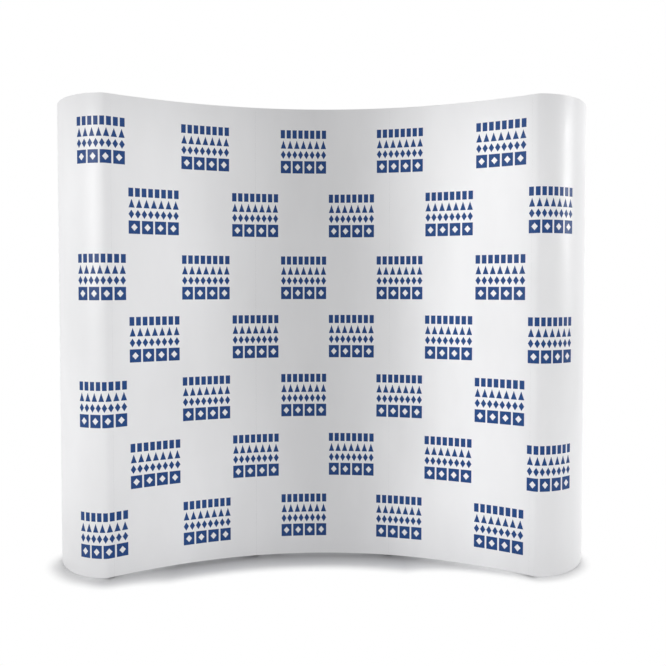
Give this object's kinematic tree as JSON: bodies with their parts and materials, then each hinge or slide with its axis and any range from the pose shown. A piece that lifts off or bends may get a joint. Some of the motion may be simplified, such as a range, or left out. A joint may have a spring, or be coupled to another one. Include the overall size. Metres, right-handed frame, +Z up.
{
  "type": "pop-up display backwall",
  "caption": "Curved pop-up display wall: a collapsible crossed-tube frame with channel bars, faced with lift-off film panels and rounded end caps.",
  "frame": {"origin": "on the floor, at the middle of the wall's width and depth", "axes": "+Z up, +X along the wall to the viewer's right, +Y away from the viewer, through the wall to its back"},
  "size_m": [2.5984, 0.6064, 2.233],
  "materials": {
    "film": "laminated white film, semi-gloss",
    "hanger": "white extruded plastic",
    "magnet_tape": "black magnetic tape",
    "moulding": "black moulded nylon",
    "tube": "satin anodised",
    "bar": "satin anodised extrusion",
    "strip": "galvanised",
    "fastener": "zinc plated",
    "lock_arm": "satin",
    "foot": "moulded rubber"
  },
  "bodies": {
    "frame": {"front_hubs_1": "moulding", "front_hubs_2": "moulding", "front_hubs_3": "moulding", "front_hubs_4": "moulding", "rear_hubs_1": "moulding", "rear_hubs_2": "moulding", "rear_hubs_3": "moulding", "rear_hubs_4": "moulding", "row_tubes_1": "tube", "row_tubes_2": "tube", "row_tubes_3": "tube", "row_tubes_4": "tube", "column_tubes_1": "tube", "column_tubes_2": "tube", "column_tubes_3": "tube", "column_tubes_4": "tube", "row_pins": "fastener", "column_pins": "fastener", "row_rivets": "fastener", "column_rivets": "fastener", "cross_washers": "moulding", "front_bar_1": "bar", "front_bar_2": "bar", "front_bar_3": "bar", "front_bar_4": "bar", "rear_bar_left": "bar", "rear_bar_right": "bar", "front_fold_plugs": "moulding", "front_fold_pins": "fastener", "rear_fold_plugs": "moulding", "rear_fold_pins": "fastener", "front_bar_strips": "strip", "rear_bar_strips": "strip", "front_feet": "foot", "rear_feet": "foot", "lock_pins": "fastener"},
    "left_panel": {"left_film": "film", "left_hanger": "hanger", "left_tapes": "magnet_tape"},
    "centre_panel": {"centre_film": "film", "centre_hanger": "hanger", "centre_tapes": "magnet_tape"},
    "right_panel": {"right_film": "film", "right_hanger": "hanger", "right_tapes": "magnet_tape"},
    "left_end_panel": {"left_end_film": "film", "left_end_hanger": "hanger", "left_end_tapes": "magnet_tape"},
    "right_end_panel": {"right_end_film": "film", "right_end_hanger": "hanger", "right_end_tapes": "magnet_tape"},
    "lock_arm_lower_left": {"lock_arm_lower_left": "lock_arm"},
    "lock_arm_lower_right": {"lock_arm_lower_right": "lock_arm"},
    "lock_arm_upper_left": {"lock_arm_upper_left": "lock_arm"},
    "lock_arm_upper_right": {"lock_arm_upper_right": "lock_arm"}
  },
  "joints": [
    {"name": "left_panel_lift", "type": "slide", "parent": "frame", "child": "left_panel", "axis": [0, 0, 1], "range_m": [0, 0.3]},
    {"name": "centre_panel_lift", "type": "slide", "parent": "frame", "child": "centre_panel", "axis": [0, 0, 1], "range_m": [0, 0.3]},
    {"name": "right_panel_lift", "type": "slide", "parent": "frame", "child": "right_panel", "axis": [0, 0, 1], "range_m": [0, 0.3]},
    {"name": "left_end_panel_lift", "type": "slide", "parent": "frame", "child": "left_end_panel", "axis": [0, 0, 1], "range_m": [0, 0.3]},
    {"name": "right_end_panel_lift", "type": "slide", "parent": "frame", "child": "right_end_panel", "axis": [0, 0, 1], "range_m": [0, 0.3]},
    {"name": "lock_arm_lower_left_swing", "type": "hinge", "parent": "frame", "child": "lock_arm_lower_left", "pos_m": [-0.38666, 0.2702, 0.75567], "axis": [-0.699, -0.1065, 0.7071], "range_deg": [0, 70]},
    {"name": "lock_arm_lower_right_swing", "type": "hinge", "parent": "frame", "child": "lock_arm_lower_right", "pos_m": [0.38666, 0.2702, 0.75567], "axis": [-0.699, 0.1065, 0.7071], "range_deg": [0, 70]},
    {"name": "lock_arm_upper_left_swing", "type": "hinge", "parent": "frame", "child": "lock_arm_upper_left", "pos_m": [-0.38666, 0.2702, 1.47533], "axis": [-0.699, -0.1065, 0.7071], "range_deg": [0, 70]},
    {"name": "lock_arm_upper_right_swing", "type": "hinge", "parent": "frame", "child": "lock_arm_upper_right", "pos_m": [0.38666, 0.2702, 1.47533], "axis": [-0.699, 0.1065, 0.7071], "range_deg": [0, 70]}
  ]
}
